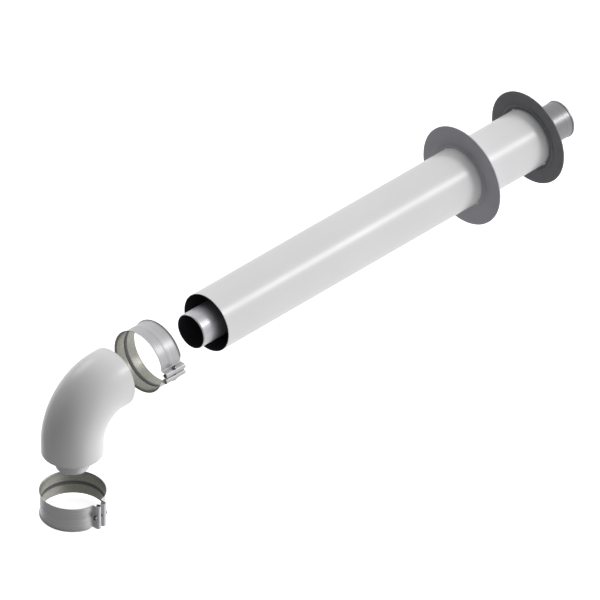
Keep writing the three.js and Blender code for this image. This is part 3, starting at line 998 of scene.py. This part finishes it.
def terminal_ring():
    low, high = span("terminal_ring", 0)
    plate = high - PLATE_T
    outer = AIR_R - SKIN
    skirt_inner = SKIRT_R - SKIRT_T
    section = [
        (PLATE_BORE_R, plate, 0.35),
        (skirt_inner, plate, 1.2),
        (skirt_inner, low, 0.3),
        (SKIRT_R, low, 0.3),
        (SKIRT_R, plate, 0.3),
        (outer, plate, 0.35),
        (outer, high, 0.6),
        (PLATE_BORE_R, high, 0.5),
    ]
    bm = turned(section, ALONG_DUCT, 144, longest=6)
    cutters = merged(rivet_holes(), *slot_cutters(plate - 1, high + 1))
    piece("terminal_ring", bm, [white, bore_shade], cutter=cutters, bevel=0.15)


def terminal_rivets():
    """Blind rivets: a domed head with the broken stem in its middle, and a bulb inside."""
    head = AIR_R + 0.3
    bulb = SKIRT_R - SKIRT_T - CLEARANCE
    section = [
        (0.0, bulb - 1.5, 0),
        (2.0, bulb - 1.5, 0.6),
        (2.5, bulb, 0.2),
        (RIVET_SHANK_R, bulb, 0.1),
        (RIVET_SHANK_R, head, 0.1),
        (RIVET_HEAD_R, head, 0.15),
        (2.6, head + 0.65, 0.5),
        (1.5, head + 1.15, 0.3),
        (0.85, head + 1.15, 0.1),
        (0.8, head + 0.75, 0.1),
        (0.45, head + 0.85, 0.1),
        (0.0, head + 0.9, 0),
    ]
    for index, at in enumerate(rivet_places()):
        bm = turned(section, at, 32, support=0.2)
        piece(f"terminal_rivet_{index + 1}", bm, [plated])


def outlet_pipe():
    low, high = span("outlet_pipe", 0)
    high -= SKIN / 2
    stop = span("flue_pipe", 0)[1] + 3
    outer = OUTLET_R
    rim_back = high - 4
    section = [
        (OUTLET_BORE, low, 0.3),
        (outer, low, 0.3),
        (outer, OUTLET_BEAD_X - 2, 0.6),
        (outer + 0.45, OUTLET_BEAD_X - 1, 0.6),
        (outer + 0.45, OUTLET_BEAD_X + 1, 0.6),
        (outer, OUTLET_BEAD_X + 2, 0.6),
        (outer, rim_back, 0.8),
        (OUTLET_LIP_R, rim_back + 1, 0.8),
        (OUTLET_LIP_R, high, 1.2),
        (OUTLET_BORE, high, 0.8),
        (OUTLET_BORE, stop + 1.4, 0.4),
        (FLUE_BORE + 0.2, stop + 1, 0.3),
        (FLUE_BORE + 0.2, stop, 0.3),
        (OUTLET_BORE, stop - 0.4, 0.3),
    ]
    bm = turned(section, ALONG_DUCT, 112, longest=8, bored=True)
    piece("outlet_pipe", bm, [outlet_steel, bore_shade])


# ---------------------------------------------------------------- wall seals


def inner_wall_seal():
    back = span("inner_wall_seal", 0)[1]
    face = back - SEAL_T
    rim = span("inner_wall_seal", 1)[1] - SKIN
    section = [
        (SEAL_BORE_R, back, 0.5),
        (SEAL_BORE_R, face - 3, 0.3),
        (SEAL_BORE_R + 0.9, face - 3, 0.3),
        (SEAL_BORE_R + 2.6, face - 0.6, 2.0),
        (SEAL_BORE_R + 4.6, face, 2.5),
        (rim - 3.4, face, 0.6),
        (rim - 2.6, face + 0.35, 0.4),
        (rim, face + 0.55, 0.9),
        (rim, back, 0.9),
        (rim - 5.0, back, 0.4),
        (rim - 5.4, back - 0.6, 0.4),
        (rim - 7.6, back - 0.6, 0.4),
        (rim - 8.0, back, 0.4),
        (SEAL_BORE_R + 9, back, 0.4),
        (SEAL_BORE_R + 8.6, back - 0.6, 0.4),
        (SEAL_BORE_R + 6.4, back - 0.6, 0.4),
        (SEAL_BORE_R + 6, back, 0.4),
    ]
    bm = turned(section, ALONG_DUCT, 192, longest=7)
    piece("inner_wall_seal", bm, [inner_rubber])


def outer_wall_seal():
    low, high = span("outer_wall_seal", 0)
    face = low + 2
    back = face + SEAL_T
    rim = span("outer_wall_seal", 1)[1] - SKIN
    section = [
        (SEAL_BORE_R, high, 0.4),
        (SEAL_BORE_R, face, 0.5),
        (OUTER_RING_R - 2, face, 0.6),
        (OUTER_RING_R - 1.3, face - 2, 0.8),
        (OUTER_RING_R + 1.3, face - 2, 0.8),
        (OUTER_RING_R + 2, face, 0.8),
        (rim - 3, face, 0.5),
        (rim - 2.4, face + 0.4, 0.4),
        (rim, face + 0.6, 0.9),
        (rim, back, 0.9),
        (SEAL_BORE_R + 6, back, 0.4),
        (SEAL_BORE_R + 3, back, 1.0),
        (SEAL_BORE_R + 1.4, high, 0.5),
    ]
    bm = turned(section, ALONG_DUCT, 192, longest=7)
    piece("outer_wall_seal", bm, [outer_rubber])


# ---------------------------------------------------------------- everything in place


elbow_shell()
elbow_flue_pipe()
elbow_lip_seal()
spacer("elbow_lower_spacer", FLUE_R, *span("elbow_lower_spacer", 2), IN_PLACE)
spacer("elbow_upper_spacer", BEAD_R, *span("elbow_upper_spacer", 0), ALONG_DUCT)
band("lower")
band("upper")
air_duct()
flue_pipe()
for number in (1, 2, 3):
    duct_spacer = f"duct_spacer_{number}"
    spacer(duct_spacer, FLUE_R, *span(duct_spacer, 0), ALONG_DUCT)
terminal_ring()
terminal_rivets()
outlet_pipe()
inner_wall_seal()
outer_wall_seal()

# ---------------------------------------------------------------- floor, light and camera

FLOOR_DROP = 0.004
FLOOR_HALF = 30.0
LENS = 1600.0  # long enough to come close to the photograph's parallel view
SENSOR = 36.0
VIEW_WIDTH = 0.9449  # metres from side to side of the picture
VIEW_RIGHT = 0.35875  # how far the picture's centre is right of the elbow
VIEW_UP = 0.15746  # and above it


def pale_floor():
    bm = bmesh.new()
    z = cad_low.z - FLOOR_DROP
    corners = [(-1, -1), (1, -1), (1, 1), (-1, 1)]
    verts = [bm.verts.new((x * FLOOR_HALF, y * FLOOR_HALF, z)) for x, y in corners]
    bm.faces.new(verts)
    mesh = bpy.data.meshes.new("floor")
    bm.to_mesh(mesh)
    bm.free()
    floor = bpy.data.objects.new("floor", mesh)
    bpy.context.scene.collection.objects.link(floor)
    s = Surface("floor_white", specular=0.0)
    paper = s.ranged(s.noise(1.5, 2.0), 0.3, 0.7, 0.0, 1.0)
    s.shader.inputs["Emission Color"].default_value = (1, 1, 1, 1)
    s.shader.inputs["Emission Strength"].default_value = 0.8
    colour = s.blend(paper, tone("f6f6f6"), tone("f4f4f4"))
    floor.data.materials.append(s.finish(colour, s.ranged(paper, 0, 1, 0.85, 0.9)))
    floor.visible_diffuse = False
    floor.visible_glossy = False


def surroundings():
    """A room lit from the outdoor end, +X, and dim at the other, with some light from below.
    The camera itself sees plain white beyond the floor."""
    world = bpy.data.worlds.new("room")
    bpy.context.scene.world = world
    world.use_nodes = True
    tree = world.node_tree
    tree.nodes.clear()
    where = tree.nodes.new("ShaderNodeTexCoord")
    split = tree.nodes.new("ShaderNodeSeparateXYZ")
    tree.links.new(where.outputs["Generated"], split.inputs["Vector"])

    def eased(axis, first, last, low, high):
        """Runs from low to high as the axis runs from first to last. low and high are numbers
        or outputs."""
        node = tree.nodes.new("ShaderNodeMapRange")
        node.interpolation_type = "SMOOTHSTEP"
        tree.links.new(split.outputs[axis], node.inputs["Value"])
        node.inputs["From Min"].default_value = first
        node.inputs["From Max"].default_value = last
        for name, value in (("To Min", low), ("To Max", high)):
            if isinstance(value, float):
                node.inputs[name].default_value = value
            else:
                tree.links.new(value, node.inputs[name])
        return node.outputs["Result"]

    dim_end = eased("Z", -0.35, 0.15, 0.31, 0.14)
    lit_end = eased("Z", -0.6, 0.3, 1.28, 1.0)
    room = tree.nodes.new("ShaderNodeBackground")
    room.inputs["Color"].default_value = tone("fffffe")
    tree.links.new(eased("X", -0.2, 0.2, dim_end, lit_end), room.inputs["Strength"])
    seen = tree.nodes.new("ShaderNodeBackground")
    seen.inputs["Color"].default_value = (1, 1, 1, 1)
    seen.inputs["Strength"].default_value = 1.0
    rays = tree.nodes.new("ShaderNodeLightPath")
    mix = tree.nodes.new("ShaderNodeMixShader")
    out = tree.nodes.new("ShaderNodeOutputWorld")
    tree.links.new(rays.outputs["Is Camera Ray"], mix.inputs["Fac"])
    tree.links.new(room.outputs["Background"], mix.inputs[1])
    tree.links.new(seen.outputs["Background"], mix.inputs[2])
    tree.links.new(mix.outputs["Shader"], out.inputs["Surface"])


def soft_light(name, direction, level, size, distance=5.0):
    middle_of_kit = (cad_low + cad_high) / 2
    data = bpy.data.lights.new(name, "AREA")
    data.shape = "SQUARE"
    data.size = size
    data.energy = level * math.pi**2 * distance**2
    light = bpy.data.objects.new(name, data)
    away = Vector(direction).normalized()
    light.location = middle_of_kit + away * distance
    light.rotation_euler = away.to_track_quat("Z", "Y").to_euler()
    light.visible_camera = False
    bpy.context.scene.collection.objects.link(light)


def camera():
    """A very long lens along the photograph's line of sight, from equally -X, -Y and +Z."""
    back = Vector((-1, -1, 1)).normalized()
    right = Vector((1, -1, 0)).normalized()
    up = back.cross(right)
    centre = Vector((0, 0, AXIS_Z * MM)) + right * VIEW_RIGHT + up * VIEW_UP
    data = bpy.data.cameras.new("camera")
    data.lens = LENS
    data.sensor_width = SENSOR
    data.clip_start = 1.0
    data.clip_end = 200.0
    view = bpy.data.objects.new("camera", data)
    view.rotation_mode = "QUATERNION"
    view.location = centre + back * (VIEW_WIDTH * LENS / SENSOR)
    view.rotation_quaternion = (-back).to_track_quat("-Z", "Y")
    bpy.context.scene.collection.objects.link(view)
    bpy.context.scene.camera = view


pale_floor()
surroundings()
soft_light("key", (1, -1, 1), 0.23, 1.0)
soft_light("rim", (0.1, 1, 0.7), 0.12, 2.0)
camera()
bpy.context.scene.view_settings.view_transform = "Standard"
